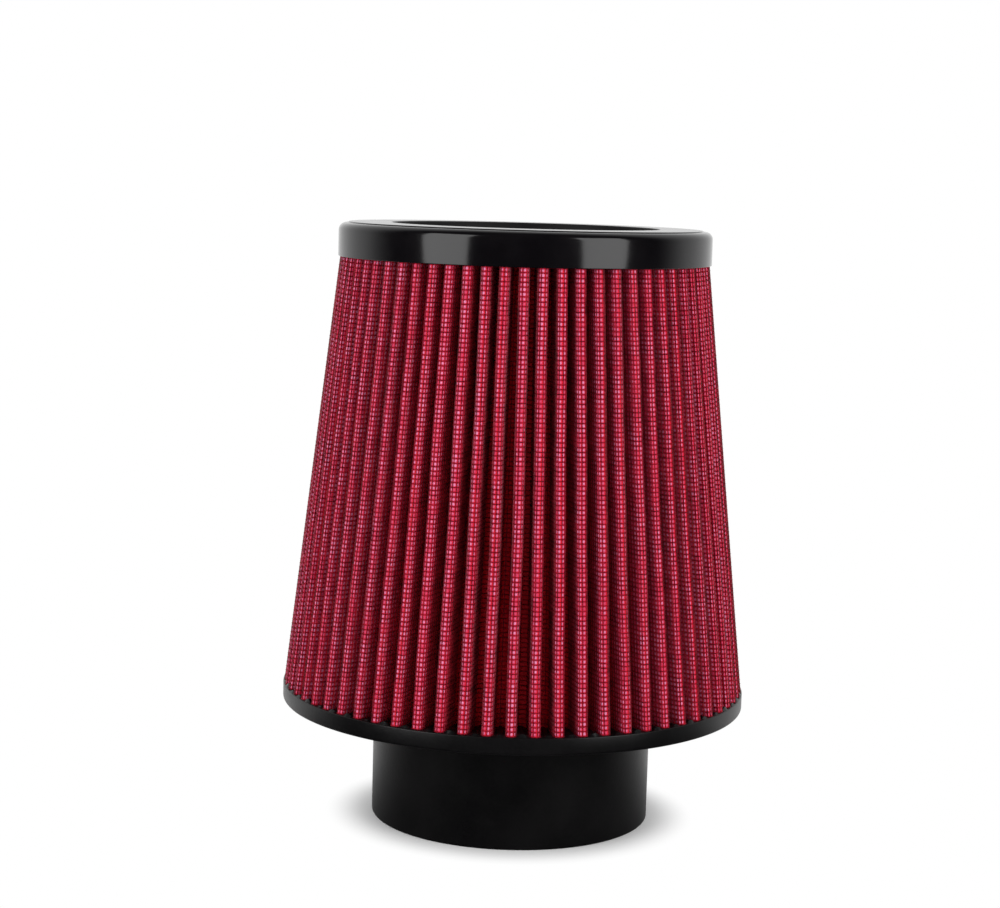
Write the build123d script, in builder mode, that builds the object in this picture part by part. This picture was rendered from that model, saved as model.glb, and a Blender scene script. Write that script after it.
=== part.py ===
from build123d import *
import os
from math import cos, pi, sin

# Conical cotton gauze air filter, with a second, inverted cone of pleats let into its cap.
# Millimetres, +Z up the filter's axis. The origin is the centre of the neck's open end,
# on which the filter stands.

# Neck and flange, moulded in one
neck_bore = 76.0
neck_wall = 7.3
neck_length = 38.0  # open end to the underside of the flange
neck_mouth_chamfer = 0.8
base_diameter = 150.0
flange_thickness = 5.5
flange_edge_chamfer = 0.8  # lower edge of the rim
bore_chamfer = 2.0  # inner end of the bore, inside the filter
base_lip = 0.15  # rim standing outside the pleats

# Cap
cap_diameter = 119.6
cap_height = 11.0
cap_edge = 2.2  # radius of the upper outer edge
cap_edge_count = 2  # flats in that edge
cap_lip = 0.45  # rim standing outside the pleats
cap_seat = 6.0  # depth to which the outer pleats are let into the cap
shoulder_width = 3.0  # lower step round the raised land of the top face
land_height = 0.4
opening_diameter = 85.0
opening_chamfer = 0.5
mouth_depth = 4.5  # straight wall of the opening, down to the ledge that carries the cone
ledge_lip = 0.8  # ledge standing inside the cone's pleats
pack_spacing = 1.5  # between the outer pleats and the cone, at the cap's underside

# Pleated cloth
pleat_length = 138.0  # showing between flange and cap
screen_thickness = 0.5  # wire cloth
gauze_thickness = 0.95  # plies of cotton gauze behind it
fold_gap = 0.8  # between the two layers of gauze inside a fold
cloth_flat_count = 5  # flats in the round over a fold's tip, outside
gauze_flat_count = 3  # flats under the wire cloth
outer_pleat_count = 64
outer_pleat_depth = 11.0
cone_pleat_count = 26
cone_pleat_depth = 6.0

# Inverted cone and its plug
cone_length = 78.0  # showing between cap and plug
cone_foot_radius = 18.5  # pleat tips at the plug's top
plug_rim = 1.2  # plug standing outside the cone's pleats
plug_thickness = 6.0

seat_clearance = 0.05  # between the outer pleats and the walls of the cap's channel

# Heights along the axis
flange_top = neck_length + flange_thickness
cap_bottom = flange_top + pleat_length
cap_top = cap_bottom + cap_height
shoulder_top = cap_top - land_height
ledge_top = cap_top - mouth_depth
outer_head = cap_bottom + cap_seat
plug_top = cap_bottom - cone_length
plug_bottom = plug_top - plug_thickness

# Radii
bore_radius = neck_bore / 2
neck_radius = bore_radius + neck_wall
base_radius = base_diameter / 2
cap_radius = cap_diameter / 2
land_radius = cap_radius - shoulder_width
opening_radius = opening_diameter / 2

# A fold is two sheets of screen and gauze lying back to back
sheet_thickness = screen_thickness + gauze_thickness
fold_width = 2 * sheet_thickness + fold_gap


def on_line(height, low_height, low_radius, high_height, high_radius):
    """Radius at a height on the straight slope through two rings."""
    rise = (height - low_height) / (high_height - low_height)
    return low_radius + (high_radius - low_radius) * rise


def outer_tip(height):
    """Radius of the outer pleats' tips, which point away from the axis."""
    return on_line(height, flange_top, base_radius - base_lip, cap_bottom, cap_radius - cap_lip)


def outer_back(height):
    """Radius of the outer pleats' innermost face, towards the clean air."""
    return outer_tip(height) - outer_pleat_depth - sheet_thickness


# The cone's mouth lies inside the outer pleats, and its outermost corners stand out past its flats
corner_ratio = 1 / cos(pi / cone_pleat_count)
cone_wall = cone_pleat_depth + sheet_thickness
cone_mouth_radius = (outer_back(cap_bottom) - pack_spacing) / corner_ratio - cone_wall
ledge_radius = cone_mouth_radius - ledge_lip
plug_radius = (cone_foot_radius + cone_wall) * corner_ratio + plug_rim


def cone_tip(height):
    """Radius of the cone's pleat tips, which point towards the axis."""
    return on_line(height, plug_top, cone_foot_radius, cap_bottom, cone_mouth_radius)


def fold_outline(count, tip, root, width, flats):
    """Points across one fold that points from root to tip, from valley to valley.

    The sides are parallel, and the round over the tip is a half circle in equal flats.
    """
    half_pitch = pi / count
    half = width / 2
    outward = 1 if tip > root else -1
    centre = tip - outward * half
    foot = (root - half * sin(half_pitch)) / cos(half_pitch)
    leans = [pi * corner / flats - pi / 2 for corner in range(flats + 1)]
    rounding = [(centre + outward * half * cos(lean), half * sin(lean)) for lean in leans]
    valley_x = root * cos(half_pitch)
    valley_y = root * sin(half_pitch)
    return [(valley_x, -valley_y), (foot, -half), *rounding, (foot, half), (valley_x, valley_y)]


def outer_fold(height, inset, flats):
    """Outline of an outer fold's surface that lies inset from its outside."""
    tip = outer_tip(height) - inset
    return fold_outline(outer_pleat_count, tip, tip - outer_pleat_depth, fold_width - 2 * inset, flats)


def cone_fold(height, inset, flats):
    """Outline of a cone fold's surface that lies inset from its tip's side."""
    tip = cone_tip(height) + inset
    return fold_outline(cone_pleat_count, tip, tip + cone_pleat_depth, fold_width - 2 * inset, flats)


def pleated_sheet(count, fold, heights, near, far):
    """Solid ring of folded cloth between two surfaces, each given by its inset and tip flats.

    One fold is lofted from foot to head, and its faces, without the two where the next folds
    join on, are repeated round the axis.
    """
    sections = []
    for height in heights:
        with BuildSketch(Plane.XY.offset(height)) as section:
            with BuildLine():
                Polyline(*fold(height, *near), *reversed(fold(height, *far)), close=True)
            make_face()
        sections.append(section.sketch)
    one_fold = loft(sections, ruled=True, mode=Mode.PRIVATE)
    own_faces = [Face(face.outer_wire()) for face in one_fold.faces().sort_by(Axis.Y)[1:-1]]
    return Solid(Shell([place * face for place in PolarLocations(0, count) for face in own_faces]))


os.makedirs("parts", exist_ok=True)

# Surfaces of the folded cloth, as inset and tip flats; the gap inside a fold ends square
cloth_face = (0, cloth_flat_count)
gauze_face = (screen_thickness, gauze_flat_count)
gap_face = (sheet_thickness, 1)

# Wire cloth on the outside of the filter, and the gauze behind it
outer_ends = (flange_top, outer_head)
with BuildPart() as outer_screen:
    add(pleated_sheet(outer_pleat_count, outer_fold, outer_ends, cloth_face, gauze_face))
outer_screen.part.label = "outer_screen"
export_step(outer_screen.part, "parts/outer_screen.step")

with BuildPart() as outer_gauze:
    add(pleated_sheet(outer_pleat_count, outer_fold, outer_ends, gauze_face, gap_face))
outer_gauze.part.label = "outer_gauze"
export_step(outer_gauze.part, "parts/outer_gauze.step")

# Inverted cone, folded from the same cloth and gauze in one, between the plug and the cap
with BuildPart() as inner_cone:
    add(pleated_sheet(cone_pleat_count, cone_fold, (plug_top, cap_bottom), cloth_face, gap_face))
inner_cone.part.label = "inner_cone"
export_step(inner_cone.part, "parts/inner_cone.step")

# Flange and neck in one moulding; the outer pleats stand on the flange
with BuildPart() as neck_base:
    with BuildSketch(Plane.XZ):
        with BuildLine():
            Polyline(
                (bore_radius, 0),
                (neck_radius, 0),
                (neck_radius, neck_length),
                (base_radius, neck_length),
                (base_radius, flange_top),
                (bore_radius, flange_top),
                close=True,
            )
        make_face()
    revolve(axis=Axis.Z)
    rings = neck_base.edges().filter_by(GeomType.CIRCLE)
    mouth_rings = rings.group_by(Axis.Z)[0]
    underside_rings = rings.group_by(Axis.Z)[1].sort_by(SortBy.RADIUS)
    bore_ring = rings.group_by(Axis.Z)[-1].sort_by(SortBy.RADIUS)[0]
    chamfer(bore_ring, length=bore_chamfer)
    chamfer(underside_rings[-1], length=flange_edge_chamfer)
    chamfer(mouth_rings, length=neck_mouth_chamfer)
neck_base.part.label = "neck_base"
export_step(neck_base.part, "parts/neck_base.step")

# Cap ring: a raised land on top, a ledge inside the opening that carries the cone,
# and a channel underneath for the outer pleats
edge_leans = [pi / 2 * corner / cap_edge_count for corner in range(cap_edge_count + 1)]
cap_rounding = [
    (cap_radius - cap_edge * (1 - cos(lean)), shoulder_top - cap_edge * (1 - sin(lean)))
    for lean in edge_leans
]
with BuildPart() as top_cap:
    with BuildSketch(Plane.XZ):
        with BuildLine():
            Polyline(
                (cap_radius, cap_bottom),
                *cap_rounding,
                (land_radius, shoulder_top),
                (land_radius, cap_top),
                (opening_radius, cap_top),
                (opening_radius, ledge_top),
                (ledge_radius, ledge_top),
                (ledge_radius, cap_bottom),
                (outer_back(outer_head) - seat_clearance, cap_bottom),
                (outer_back(outer_head) - seat_clearance, outer_head),
                (outer_tip(cap_bottom) + seat_clearance, outer_head),
                (outer_tip(cap_bottom) + seat_clearance, cap_bottom),
                close=True,
            )
        make_face()
    revolve(axis=Axis.Z)
    top_rings = top_cap.edges().filter_by(GeomType.CIRCLE).group_by(Axis.Z)[-1]
    chamfer(top_rings.sort_by(SortBy.RADIUS)[0], length=opening_chamfer)
top_cap.part.label = "top_cap"
export_step(top_cap.part, "parts/top_cap.step")

# Plug that closes the foot of the cone
with BuildPart() as cone_plug:
    with BuildSketch(Plane.XY.offset(plug_bottom)):
        Circle(plug_radius)
    extrude(amount=plug_thickness)
cone_plug.part.label = "cone_plug"
export_step(cone_plug.part, "parts/cone_plug.step")
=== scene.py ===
from math import cos, pi, radians, sin

import bpy
import numpy as np
from mathutils import Matrix, Vector


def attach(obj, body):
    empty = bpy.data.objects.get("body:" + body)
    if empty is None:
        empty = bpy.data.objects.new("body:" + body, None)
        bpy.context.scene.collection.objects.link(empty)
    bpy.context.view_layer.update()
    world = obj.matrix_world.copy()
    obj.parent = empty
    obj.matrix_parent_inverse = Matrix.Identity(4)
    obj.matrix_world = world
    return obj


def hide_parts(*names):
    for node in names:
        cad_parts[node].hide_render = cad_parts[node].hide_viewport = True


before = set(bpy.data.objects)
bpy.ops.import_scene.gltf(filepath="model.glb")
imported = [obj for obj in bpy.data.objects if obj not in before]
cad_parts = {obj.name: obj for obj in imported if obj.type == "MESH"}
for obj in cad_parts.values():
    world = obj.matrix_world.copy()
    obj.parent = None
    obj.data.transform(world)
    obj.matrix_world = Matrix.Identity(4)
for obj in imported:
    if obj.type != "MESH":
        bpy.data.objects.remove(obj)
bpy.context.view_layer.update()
scene = bpy.context.scene
mm = 0.001  # pieces are shaped in millimetres, the rest is in metres
print("frame loaded:", sorted(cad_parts))


def addObject(name, data):
    made = bpy.data.objects.new(name, data)
    scene.collection.objects.link(made)
    return made


def addMesh(name, points, faceGroups, sharpAngle, uv=None, pointValues=None):
    # one index array for each number of corners; the volume sums fans of triangles over the faces
    volume = 0
    for group in faceGroups:
        corner = points[group]
        for k in range(1, group.shape[1] - 1):
            fan = np.cross(corner[:, k], corner[:, k + 1])
            volume += np.einsum("ij,ij->", corner[:, 0], fan)
    if volume < 0:  # faces outward
        faceGroups = [group[:, ::-1] for group in faceGroups]
        uv = None if uv is None else uv[:, ::-1]
    corners = np.concatenate([group.ravel() for group in faceGroups])
    sizes = np.concatenate([np.full(len(group), group.shape[1]) for group in faceGroups])
    mesh = bpy.data.meshes.new(name)
    mesh.vertices.add(len(points))
    mesh.vertices.foreach_set("co", (points * mm).astype(np.float32).ravel())
    mesh.loops.add(len(corners))
    mesh.loops.foreach_set("vertex_index", corners.astype(np.int32))
    mesh.polygons.add(len(sizes))
    mesh.polygons.foreach_set("loop_start", (np.cumsum(sizes) - sizes).astype(np.int32))
    if uv is not None:
        layer = mesh.uv_layers.new(name="cells")
        layer.data.foreach_set("uv", np.ascontiguousarray(uv, np.float32).ravel())
    for key, values in (pointValues or {}).items():
        attribute = mesh.attributes.new(key, "FLOAT", "POINT")
        attribute.data.foreach_set("value", values.astype(np.float32))
    mesh.update(calc_edges=True)
    mesh.validate()
    mesh.shade_smooth()
    mesh.set_sharp_from_angle(angle=radians(sharpAngle))
    return addObject(name, mesh)


def ringQuads(nu, nv):  # grid closed both ways, vertex (i, j) at i * nv + j
    i, j = np.meshgrid(np.arange(nu), np.arange(nv), indexing="ij")
    i2, j2 = (i + 1) % nu, (j + 1) % nv
    return np.stack([i * nv + j, i2 * nv + j, i2 * nv + j2, i * nv + j2], -1).reshape(-1, 4)


def ringUv(u, v):  # u has nu + 1 values, v has nv values and closes on itself
    nu, nv = len(u) - 1, len(v)
    uLow, uHigh = np.repeat(u[:-1], nv), np.repeat(u[1:], nv)
    vLow, vHigh = np.tile(v, nu), np.tile(np.roll(v, -1), nu)
    corners = [(uLow, vLow), (uHigh, vLow), (uHigh, vHigh), (uLow, vHigh)]
    return np.stack([np.stack(c, -1) for c in corners], 1)


# folded cloth: wires woven over gauze, pleated round the filter and again round the cone in its cap

cloth = {
    "pitch": 1.42, "wire": 0.14,  # between weft wires, and a wire's radius
    "warpInset": 0.34, "weftInset": 0.18, "gauzeInset": 0.5, "backInset": 1.4,
    "square": 0.75,  # below one squares off the crest
    "valleyRound": 2.2, "valleyShare": 1.6,
    "drift": [(0.021, 1.0), (0.053, 0.5), (0.117, 0.28)],  # rate and size of each sine
    "gauzeSteps": (10, 4), "wireSteps": (4, 2),  # over a crest, and down into a valley
    "gauzeSharp": 60, "wireSharp": 80,
    "nudge": 0.001,  # along f, gives the direction across a wire
}
outer = {
    "folds": 64, "out": 1, "depth": 11.0, "width": 3.7, "cells": 18.3,
    "low": 43.5, "high": 187.5, "tipLow": 74.85, "tipHigh": 58.676,
    "sway": 0.22, "seed": 3, "gauzeRows": 16,
    "weftStart": 43.7, "weftCount": 98, "weftSplit": 50,
    "warpLow": 43.5, "warpHigh": 184.0, "warpSteps": 13,
}
cone = {
    "folds": 26, "out": -1, "depth": 6.0, "width": 3.7, "cells": 13.3,
    "low": 103.5, "high": 181.5, "tipLow": 18.5, "tipHigh": 37.62,
    "sway": 0.12, "seed": 8, "gauzeRows": 12,
    "weftStart": 104.76, "weftCount": 54,
    "warpLow": 103.6, "warpHigh": 181.4, "warpSteps": 6,
}


def wander(spec, fold, z):
    # slow sines up each fold, with their own phases: the fold's small sideways drift
    rng = np.random.default_rng(spec["seed"])
    phases = rng.uniform(0, 2 * pi, (len(cloth["drift"]), spec["folds"]))
    waves = zip(cloth["drift"], phases)
    return sum(np.sin(z * rate + phase[fold]) * size for (rate, size), phase in waves)


def foldParts(spec):  # shares of half a fold's length: the crest, then the crest and the flank
    half = spec["width"] / 2
    middle = (spec["tipLow"] + spec["tipHigh"]) / 2 - spec["out"] * spec["depth"]
    gap = middle * sin(pi / spec["folds"]) - half
    flank = spec["depth"] - half - gap
    lengths = np.array([half * pi / 2, flank, gap * cloth["valleyShare"]])
    shares = np.cumsum(lengths) / lengths.sum()
    return shares[0], shares[1]


def pleat(spec, fold, f, z, inset):
    # f runs from -1 in one valley over the crest at 0 to 1 in the next valley: a squared-off
    # half round over the crest, straight flanks, then a quadratic curve into the valley floor
    fold = np.asarray(fold) % spec["folds"]
    halfPitch = pi / spec["folds"]
    out = spec["out"]
    rise = (z - spec["low"]) / (spec["high"] - spec["low"])
    tip = spec["tipLow"] + (spec["tipHigh"] - spec["tipLow"]) * rise - out * inset
    half = spec["width"] / 2 - inset
    root = tip - out * spec["depth"]
    centre = tip - out * half
    foot = (root - half * sin(halfPitch)) / cos(halfPitch)
    gap = root * sin(halfPitch) - half * cos(halfPitch)  # half the valley's width
    turn = foot + out * np.minimum(gap, cloth["valleyRound"])
    side = np.abs(f)
    crestEnd, flankEnd = foldParts(spec)
    lean = np.clip(side / crestEnd, 0, 1) * pi / 2
    down = np.clip((side - crestEnd) / (flankEnd - crestEnd), 0, 1)
    x = centre + out * half * np.cos(lean) ** cloth["square"] + (turn - centre) * down
    y = half * np.sin(lean) ** cloth["square"]

    t = np.clip((side - flankEnd) / (1 - flankEnd), 0, 1)
    first, second, third = (1 - t) ** 2, 2 * t * (1 - t), t * t
    inValley = side > flankEnd
    x = np.where(inValley, first * turn + second * foot + third * root * cos(halfPitch), x)
    y = np.where(inValley, (first + second) * half + third * root * sin(halfPitch), y)

    # the drift is nought in the valleys and at both ends
    hold = (1 - side ** 2) ** 2 * np.sin(pi * np.clip(rise, 0, 1)) ** 0.5
    y = y * np.sign(f) + wander(spec, fold, z) * spec["sway"] * hold
    heading = 2 * halfPitch * fold
    turnedX = x * np.cos(heading) - y * np.sin(heading)
    turnedY = x * np.sin(heading) + y * np.cos(heading)
    return np.stack(np.broadcast_arrays(turnedX, turnedY, z), -1)


def foldSteps(spec, crest, valley):  # f along every fold, each last valley left to the next fold
    crestEnd, flankEnd = foldParts(spec)
    rising = np.linspace(-1, -flankEnd, valley, endpoint=False)
    over = np.linspace(-crestEnd, 0, crest // 2 + 1)
    up = np.concatenate([rising, [-flankEnd], over])
    f = np.concatenate([up, -up[1:-1][::-1]])
    return np.repeat(np.arange(spec["folds"]), len(f)), np.tile(f, spec["folds"])


def gauzeRing(name, spec):
    # surface over (f round the filter, height): the face going up, then the back coming down
    fold, f = foldSteps(spec, *cloth["gauzeSteps"])
    z = np.linspace(spec["low"], spec["high"], spec["gauzeRows"])
    face = pleat(spec, fold[:, None], f[:, None], z[None, :], cloth["gauzeInset"])
    back = pleat(spec, fold[:, None], f[:, None], z[None, :], cloth["backInset"])
    grid = np.concatenate([face, back[:, ::-1]], 1)
    nu, nv = grid.shape[:2]
    u = (fold + f / 2) * spec["cells"]
    u = np.append(u, u[0] + spec["folds"] * spec["cells"])
    v = np.concatenate([z, z[::-1]]) / cloth["pitch"]
    # how far each point lies from the crest towards the valley; the gauze colour uses it for its
    # painted shade and to fade its painted highlight
    depth = {"depth": np.repeat(np.abs(f), nv)}
    quads = [ringQuads(nu, nv)]
    return addMesh(name, grid.reshape(-1, 3), quads, cloth["gauzeSharp"], ringUv(u, v), depth)


def wireSections(path, normal, binormal):  # three corners round each point of the path
    corner = np.arange(3)[:, None] * 2 * pi / 3
    section = normal[:, :, None, :] * np.cos(corner) + binormal[..., None, :] * np.sin(corner)
    return (path[:, :, None, :] + section * cloth["wire"]).reshape(-1, 3)


def sideways(tangent):  # level and square to the tangent
    return np.stack([tangent[..., 1], -tangent[..., 0], 0 * tangent[..., 0]], -1)


def weftHeights(spec):
    return spec["weftStart"] + np.arange(spec["weftCount"]) * cloth["pitch"]


def weftRows(name, spec, heights):
    # rings of wire that follow the pleats: a triangular section carried round the fold outline
    fold, f = foldSteps(spec, *cloth["wireSteps"])
    path = pleat(spec, fold[None, :], f[None, :], heights[:, None], cloth["weftInset"])
    normal = sideways(np.roll(path, -1, 1) - np.roll(path, 1, 1))
    normal /= np.linalg.norm(normal, axis=-1, keepdims=True)
    points = wireSections(path, normal, np.array([0, 0, 1.0]))
    rows, count = path.shape[:2]
    starts = np.arange(rows)[:, None, None] * count * 3
    quads = (ringQuads(count, 3)[None] + starts).reshape(-1, 4)
    return addMesh(name, points, [quads], cloth["wireSharp"])


def warpWires(name, spec):
    # wires up the pleats, one every cell: a triangular section carried up a line of constant f
    total = round(spec["folds"] * spec["cells"])
    steps = spec["warpSteps"]
    cell = np.arange(total)[:, None] * spec["folds"] / total
    fold = np.round(cell).astype(int)
    f = (cell - fold) * 2
    z = np.linspace(spec["warpLow"], spec["warpHigh"], steps)[None, :]
    path = pleat(spec, fold, f, z, cloth["warpInset"])
    across = pleat(spec, fold, f + cloth["nudge"], z, cloth["warpInset"]) - path
    across /= np.linalg.norm(across, axis=-1, keepdims=True)
    points = wireSections(path, sideways(across), across)
    wire = np.arange(total)[:, None, None] * steps * 3
    step = np.arange(steps - 1)[None, :, None] * 3
    side = np.arange(3)
    here, beside = wire + step + side, wire + step + (side + 1) % 3
    tubes = np.stack([here, beside, beside + 3, here + 3], -1).reshape(-1, 4)
    lower = wire[:, 0] + [0, 2, 1]
    upper = wire[:, 0] + (steps - 1) * 3 + side
    return addMesh(name, points, [tubes, np.concatenate([lower, upper])], cloth["wireSharp"])


gauze = gauzeRing("outerGauze", outer)
outerRows = weftHeights(outer)
weftLow = weftRows("outerWeftLow", outer, outerRows[:outer["weftSplit"]])
weftHigh = weftRows("outerWeftHigh", outer, outerRows[outer["weftSplit"]:])
warp = warpWires("outerWarp", outer)
print("outer pleats made")

coneGauze = gauzeRing("coneGauze", cone)
coneWeft = weftRows("coneWeft", cone, weftHeights(cone))
coneWarp = warpWires("coneWarp", cone)
print("cone made")


# turned mouldings, whose corners are (radius, height, size of the rounding)

baseShape = {
    "corners": [
        (38.0, 0.0, 0.8), (45.3, 0.0, 0.8), (45.3, 38.0, 1.2), (75.0, 38.0, 1.0),
        (75.0, 43.5, 0.3), (74.0, 43.5, 0.1), (73.6, 43.5, 0.1), (62.0, 43.5, 0.3),
        (61.0, 43.5, 0.3), (38.0, 43.5, 2.0),
    ],
    "segments": 640,
    "compoundFrom": 61.5, "compoundTo": 74.5, "compoundAbove": 43,
    "rise": 0.9, "sink": 0.1, "narrow": 1.5,
    "varies": [(23, 0.0), (41, 2.0)], "variesBy": 0.25,  # waves round the flange and their phases
}
capShape = {
    "corners": [
        (59.8, 181.5, 0.2), (59.8, 192.05, 2.3), (57.0, 192.1, 0.05), (56.8, 191.75, 0.08),
        (56.55, 192.45, 0.12), (42.5, 192.5, 0.6), (42.5, 188.0, 0.3), (36.82, 188.0, 0.4),
        (36.82, 181.5, 0.3), (46.0, 181.5, 0.0), (46.2, 182.2, 0.1), (59.4, 182.2, 0.1),
        (59.4, 181.5, 0.05),
    ],
    "segments": 256,
}
mouldingSharp = 35
roundSteps = 6
roundPull = 1.41421  # of the corner point, makes a square corner a quarter circle


def roundedProfile(corners):
    # closed outline: each corner is a weighted quadratic curve between its two sides
    outline = []
    t = np.linspace(0, 1, roundSteps)[:, None]
    first, second, third = (1 - t) ** 2, roundPull * t * (1 - t), t * t
    for i, (r, z, size) in enumerate(corners):
        here = np.array([r, z])
        if not size:
            outline.append(here[None])
            continue
        before = np.array(corners[i - 1][:2]) - here
        after = np.array(corners[(i + 1) % len(corners)][:2]) - here
        start = here + before / np.linalg.norm(before) * size
        end = here + after / np.linalg.norm(after) * size
        outline.append((first * start + second * here + third * end) / (first + second + third))
    return np.concatenate(outline)


def turned(name, shape, uneven=None):
    # the outline carried round the axis
    r, z = roundedProfile(shape["corners"]).T
    angle = np.arange(shape["segments"])[:, None] * 2 * pi / shape["segments"]
    height = z + uneven(angle, r, z) if uneven else z
    grid = np.broadcast_arrays(r * np.cos(angle), r * np.sin(angle), height)
    quads = [ringQuads(shape["segments"], len(r))]
    return addMesh(name, np.stack(grid, -1).reshape(-1, 3), quads, mouldingSharp)


def unevenTop(angle, r, z):
    # compound drawn up between the pleat feet: a raised cosine in each valley, to a power that
    # narrows it, its size varied by sines round the flange
    waves = sum(np.sin(count * angle + phase) for count, phase in baseShape["varies"])
    size = baseShape["rise"] + waves * baseShape["variesBy"]
    valley = (1 - np.cos(outer["folds"] * angle)) / 2
    hump = valley ** baseShape["narrow"] * size - baseShape["sink"]
    within = (r > baseShape["compoundFrom"]) & (r < baseShape["compoundTo"])
    return np.where(within & (z > baseShape["compoundAbove"]), hump, 0)


base = turned("neckBase", baseShape, unevenTop)
cap = turned("capRing", capShape)
print("mouldings made")

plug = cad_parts["cone_plug"]

for obj, node, slotName in [
    (gauze, "outer_gauze", "gauze"),
    (weftLow, "outer_screen", "wire_cloth"),
    (weftHigh, "outer_screen", "wire_cloth"),
    (warp, "outer_screen", "wire_cloth"),
    (coneGauze, "inner_cone", "gauze"),
    (coneWeft, "inner_cone", "wire_cloth"),
    (coneWarp, "inner_cone", "wire_cloth"),
    (base, "neck_base", "moulded_base"),
    (cap, "top_cap", "cap_ring"),
]:
    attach(obj, "root")
    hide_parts(node)


class Signal:  # one socket, with arithmetic
    def __init__(self, tree, socket=None):
        self.tree = tree
        self.socket = socket

    def node(self, kind, settings=None, inputs=None, output=0):
        made = self.tree.nodes.new("ShaderNode" + kind)
        for key, value in (settings or {}).items():
            setattr(made, key, value)
        for key, value in (inputs or {}).items():
            if isinstance(value, Signal):
                self.tree.links.new(value.socket, made.inputs[key])
            else:
                made.inputs[key].default_value = value
        return Signal(self.tree, made.outputs[output])

    def math(self, operation, *values):
        return self.node("Math", {"operation": operation}, dict(enumerate(values)))

    def __add__(self, other):
        return self.math("ADD", self, other)

    def __radd__(self, other):
        return self.math("ADD", other, self)

    def __sub__(self, other):
        return self.math("SUBTRACT", self, other)

    def __rsub__(self, other):
        return self.math("SUBTRACT", other, self)

    def __mul__(self, other):
        return self.math("MULTIPLY", self, other)

    def __rmul__(self, other):
        return self.math("MULTIPLY", other, self)

    def scaled(self, gain, offset):
        return self * gain + offset

    def ramp(self, low, high):  # smooth step from nought at low to one at high
        settings = {"interpolation_type": "SMOOTHSTEP"}
        return self.node("MapRange", settings, {0: self, 1: low, 2: high})

    def colours(self, first, second):
        return self.node("Mix", {"data_type": "RGBA"}, {0: self, 6: first, 7: second}, 2)

    def noise(self, scale, detail):
        return self.node("TexNoise", None, {"Vector": self, "Scale": scale, "Detail": detail})

    def length(self):
        return self.node("VectorMath", {"operation": "LENGTH"}, {0: self}, "Value")

    def parts(self):
        made = self.node("SeparateXYZ", None, {0: self}).socket.node
        return [Signal(self.tree, out) for out in made.outputs]

    def bump(self, strength, distance):
        inputs = {"Height": self, "Strength": strength, "Distance": distance}
        return self.node("Bump", None, inputs)

    def feed(self, node, name):
        self.tree.links.new(self.socket, node.inputs[name])


def rgb(r, g, b):
    return (r, g, b, 1.0)


def material(name, specular):  # with its Object coordinates and its shader
    made = bpy.data.materials.new(name)
    made.use_nodes = True
    shader = made.node_tree.nodes["Principled BSDF"]
    shader.inputs["Specular IOR Level"].default_value = specular
    place = Signal(made.node_tree).node("TexCoord", output="Object")
    return made, place, shader


def gauzeMaterial():
    # the darkest red is painted shade, laid down in the valleys and next to the wires
    # the pink is a painted highlight in the middle of each cell, stronger or weaker at random from
    # cell to cell
    look = {
        "shadeRed": rgb(0.52, 0.002, 0.011), "red": rgb(0.47, 0.025, 0.073),
        "highlightPink": rgb(0.56, 0.175, 0.31), "specular": 0.12, "fullness": 0.7,
        "patch": (90.0, 3.0), "thread": (2600.0, 2.0),  # scale and detail
        "byCell": (0.75, 0.45), "byPatch": (1.5, 0.2), "byThread": 0.25,
        "unshadedFrom": (0.0, 0.55), "shadeDepth": (0.35, 0.8),
        "highlightFrom": (0.25, 1.05), "highlightDepth": (0.2, 0.6),
        "roughness": (0.25, 0.4), "pillowLift": 0.8, "threadLift": 0.3, "bump": (0.6, 0.0003),
    }
    made, place, shader = material("oiledGauze", look["specular"])
    u, v, _ = place.node("UVMap", {"uv_map": "cells"}).parts()
    row = v - outer["weftStart"] / cloth["pitch"]
    # nought on the wires and one in the middle of a cell
    acrossCell, upCell = (
        place.math("COSINE", way * (2 * pi)).scaled(-0.5, 0.5) for way in (u, row)
    )
    pillow = place.math("POWER", acrossCell * upCell, look["fullness"])
    floors = {0: place.math("FLOOR", u), 1: place.math("FLOOR", v)}
    cellId = place.node("CombineXYZ", None, floors)
    chance = place.node("TexWhiteNoise", {"noise_dimensions": "2D"}, {"Vector": cellId})
    patch, thread = place.noise(*look["patch"]), place.noise(*look["thread"])
    varied = pillow * chance.scaled(*look["byCell"]) * patch.scaled(*look["byPatch"])
    lift = varied + (thread - 0.5) * look["byThread"]
    depth = place.node("Attribute", {"attribute_name": "depth"}, None, "Fac")
    # painted shade: the red turns darker next to the wires and further down into each valley
    unshadedShare = pillow.ramp(*look["unshadedFrom"]) * (1 - depth.ramp(*look["shadeDepth"]))
    # painted highlight: pink in the middle of each cell, varied at random, fading out down the
    # flanks
    highlightShare = lift.ramp(*look["highlightFrom"]) * (1 - depth.ramp(*look["highlightDepth"]))
    red = unshadedShare.colours(look["shadeRed"], look["red"])
    highlightShare.colours(red, look["highlightPink"]).feed(shader, "Base Color")
    thread.scaled(*look["roughness"]).feed(shader, "Roughness")
    height = pillow * look["pillowLift"] + thread * look["threadLift"]
    height.bump(*look["bump"]).feed(shader, "Normal")
    return made


def wireMaterial():
    look = {
        "dark": rgb(0.078, 0.002, 0.006), "worn": rgb(0.22, 0.007, 0.018), "specular": 0.12,
        "patch": (240.0, 3.0), "fine": (1900.0, 2.0), "patchShare": 0.6,
        "wornFrom": (0.38, 0.62), "roughness": (0.3, 0.27),
    }
    made, place, shader = material("coatedWire", look["specular"])
    patch, fine = place.noise(*look["patch"]), place.noise(*look["fine"])
    mixed = patch * look["patchShare"] + fine * (1 - look["patchShare"])
    colour = mixed.ramp(*look["wornFrom"]).colours(look["dark"], look["worn"])
    colour.feed(shader, "Base Color")
    fine.scaled(*look["roughness"]).feed(shader, "Roughness")
    return made


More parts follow.
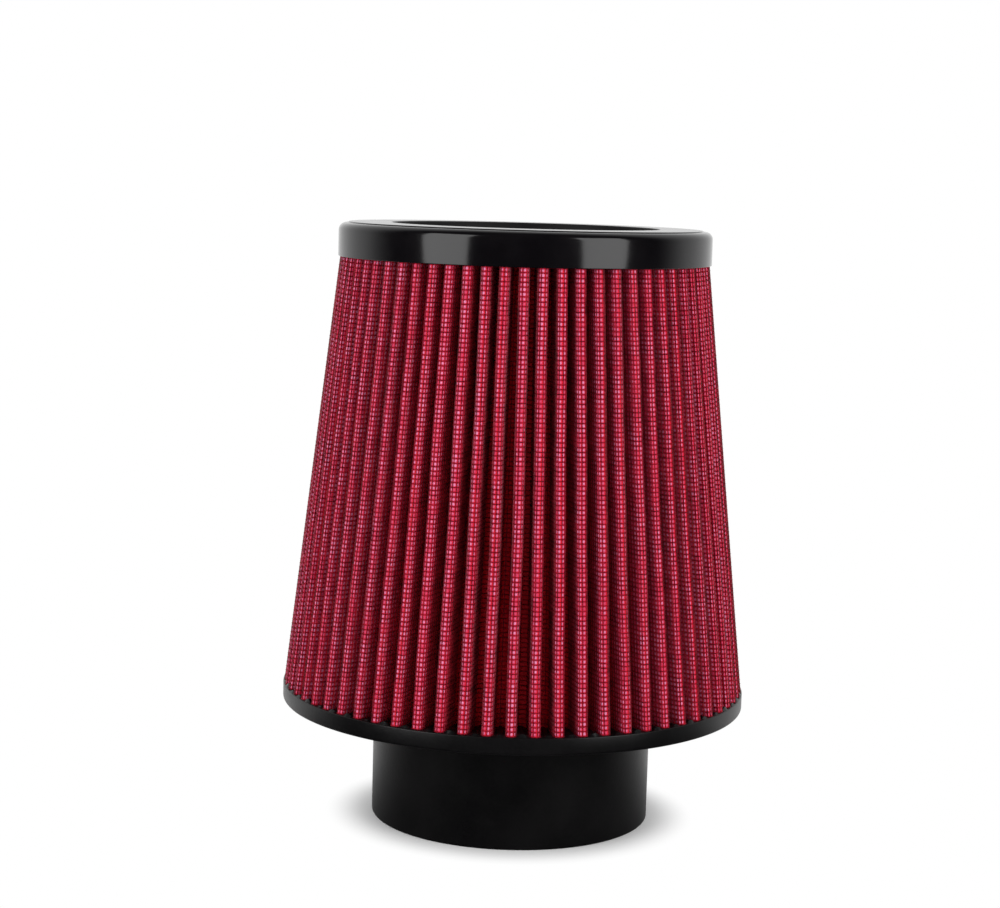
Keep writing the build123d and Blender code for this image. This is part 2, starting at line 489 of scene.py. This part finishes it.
def mouldedMaterial():
    look = {
        "black": rgb(0.0014, 0.0013, 0.0015), "grey": rgb(0.0036, 0.0033, 0.0036),
        "specular": 0.2, "broad": (45.0, 4.0), "fine": (1500.0, 3.0), "broadShare": 0.7,
        "greyFrom": (0.35, 0.65), "roughness": 0.19, "broadDull": 0.16, "fineDull": 0.1,
        "fineLift": 0.5, "bump": (0.25, 0.0002),
    }
    made, place, shader = material("satinMoulding", look["specular"])
    broad, fine = place.noise(*look["broad"]), place.noise(*look["fine"])
    mixed = broad * look["broadShare"] + fine * (1 - look["broadShare"])
    colour = mixed.ramp(*look["greyFrom"]).colours(look["black"], look["grey"])
    colour.feed(shader, "Base Color")
    dull = broad * look["broadDull"] + fine * look["fineDull"] + look["roughness"]
    dull.feed(shader, "Roughness")
    (fine * look["fineLift"] + broad).bump(*look["bump"]).feed(shader, "Normal")
    return made


def capMaterial():
    look = {
        "black": rgb(0.0016, 0.0013, 0.0018), "grey": rgb(0.0034, 0.0029, 0.0035),
        "specular": 0.26, "broad": (60.0, 3.0), "fine": (700.0, 4.0),
        "greyFrom": (0.35, 0.65), "roughness": 0.075, "broadDull": 0.05, "fineDull": 0.04,
        "opening": (0.0425, 0.0432), "openingDull": 0.5,
        "top": (0.1917, 0.1922), "topDull": 0.03,
        "fineLift": 0.06, "bump": (0.06, 0.0004),
    }
    made, place, shader = material("glossCap", look["specular"])
    broad, fine = place.noise(*look["broad"]), place.noise(*look["fine"])
    colour = broad.ramp(*look["greyFrom"]).colours(look["black"], look["grey"])
    colour.feed(shader, "Base Color")
    level = {0: place, 1: (1.0, 1.0, 0.0)}
    radius = place.node("VectorMath", {"operation": "MULTIPLY"}, level).length()
    inside = 1 - radius.ramp(*look["opening"])  # the opening's wall keeps the mould's dull skin
    _, _, high = place.parts()
    top = high.ramp(*look["top"])  # the flat top is a little duller than the rim
    dull = broad * look["broadDull"] + fine * look["fineDull"] + look["roughness"]
    dull = dull + inside * look["openingDull"] + top * look["topDull"]
    dull.feed(shader, "Roughness")
    (broad + fine * look["fineLift"]).bump(*look["bump"]).feed(shader, "Normal")
    return made


for made, dressed in [
    (gauzeMaterial(), [gauze, coneGauze]),
    (wireMaterial(), [weftLow, weftHigh, warp, coneWeft, coneWarp]),
    (mouldedMaterial(), [base, plug]),
    (capMaterial(), [cap]),
]:
    for obj in dressed:
        obj.data.materials.clear()
        obj.data.materials.append(made)
print("materials made")


# a round white floor that fades out to the backdrop

stage = {
    "radius": 0.75, "rings": [0.02, 0.3, 0.6, 1.0], "sides": 96,
    "light": rgb(0.92, 0.92, 0.92), "grey": rgb(0.88, 0.88, 0.88), "grain": (30.0, 2.0),
    "roughness": 0.7, "specular": 0.1,
    "fade": (0.0445, 0.061),  # distances over which it turns to plain white for the camera
    "shade": 0.06, "shadeFrom": (-0.05, 0.08),  # what black mouldings mirror of the floor in front
}
angle = np.arange(stage["sides"]) * 2 * pi / stage["sides"]
reach = np.array(stage["rings"])[:, None] * stage["radius"]
floorGrid = np.broadcast_arrays(reach * np.cos(angle), reach * np.sin(angle), 0.0)
floorPoints = np.stack(floorGrid, -1).reshape(-1, 3)
bands = ringQuads(len(reach), stage["sides"])[:-stage["sides"]]  # without the one that closes it
floorMesh = bpy.data.meshes.new("floor")
floorMesh.from_pydata(floorPoints.tolist(), [], bands.tolist() + [list(range(stage["sides"]))])
floor = addObject("floor", floorMesh)

floorLook, place, shader = material("whiteFloor", stage["specular"])
shader.inputs["Roughness"].default_value = stage["roughness"]
grain = place.noise(*stage["grain"])
grain.colours(stage["grey"], stage["light"]).feed(shader, "Base Color")
seen = place.node("LightPath", output="Is Camera Ray")
glossy = place.node("LightPath", output="Is Glossy Ray")
_, ahead, _ = place.parts()
fade = place.length().ramp(*stage["fade"]) * seen
shaded = glossy * (1 - ahead.ramp(*stage["shadeFrom"]))
lit = Signal(place.tree, shader.outputs[0])
white = place.node("Emission")
dark = place.node("Emission", None, {"Strength": stage["shade"]})
faded = place.node("MixShader", None, {0: fade, 1: lit, 2: white})
mirrored = place.node("MixShader", None, {0: shaded, 1: faded, 2: dark})
mirrored.feed(place.tree.nodes["Material Output"], "Surface")
floorMesh.materials.append(floorLook)
print("floor made")


# a white backdrop behind the filter, dark round the camera, and two softboxes in front

studio = {"backdrop": (-0.1, 0.45), "mirrored": (0.95, 0.05), "fill": (0.3, 0.7)}
world = bpy.data.worlds.new("studio")
scene.world = world
world.use_nodes = True
background = world.node_tree.nodes["Background"]
heading = Signal(world.node_tree).node("TexCoord", output="Generated")
seen = heading.node("LightPath", output="Is Camera Ray")
glossy = heading.node("LightPath", output="Is Glossy Ray")
_, ahead, _ = heading.parts()
backdrop = ahead.ramp(*studio["backdrop"])
mirror, fill = backdrop.scaled(*studio["mirrored"]), backdrop.scaled(*studio["fill"])
level = glossy * mirror + (1 - glossy) * fill
(seen + (1 - seen) * level).feed(background, "Strength")
background.inputs["Color"].default_value = rgb(1, 1, 1)

softbox = {
    "azimuth": 48, "distance": 1.15, "rise": 0.42, "aim": 0.16,
    "width": 0.62, "height": 1.1, "level": 5.0,
}
for name, side in [("softboxLeft", -1), ("softboxRight", 1)]:
    light = bpy.data.lights.new(name, "AREA")
    light.shape = "RECTANGLE"
    light.size, light.size_y = softbox["width"], softbox["height"]
    light.energy = softbox["level"] * pi * softbox["width"] * softbox["height"]
    lamp = addObject(name, light)
    turn = radians(softbox["azimuth"]) * side
    ground = Vector((sin(turn), -cos(turn), 0)) * softbox["distance"]
    lamp.location = ground + Vector((0, 0, softbox["rise"]))
    towards = Vector((0, 0, softbox["aim"])) - lamp.location
    lamp.rotation_euler = towards.to_track_quat("-Z", "Y").to_euler()
print("lights made")

view = {
    "lens": 79.76, "sensor": 36.0, "place": (0.0, -0.7135, 0.2085),
    "pitch": 7.19, "yaw": -0.50, "roll": 1.62,  # degrees
}
pitch, yaw, roll = (radians(view[key]) for key in ("pitch", "yaw", "roll"))
forward = Vector((sin(yaw) * cos(pitch), cos(yaw) * cos(pitch), -sin(pitch)))
right = Vector((cos(yaw), -sin(yaw), 0))
up = right.cross(forward)
axisX = right * cos(roll) + up * sin(roll)
axisY = up * cos(roll) - right * sin(roll)
turnedAxes = Matrix((axisX, axisY, -forward)).transposed().to_4x4()
lens = bpy.data.cameras.new("camera")
lens.lens = view["lens"]
lens.sensor_width = view["sensor"]
eye = addObject("camera", lens)
eye.matrix_world = Matrix.Translation(view["place"]) @ turnedAxes
scene.camera = eye
scene.view_settings.view_transform = "Standard"
print("camera made")

bpy.context.view_layer.update()
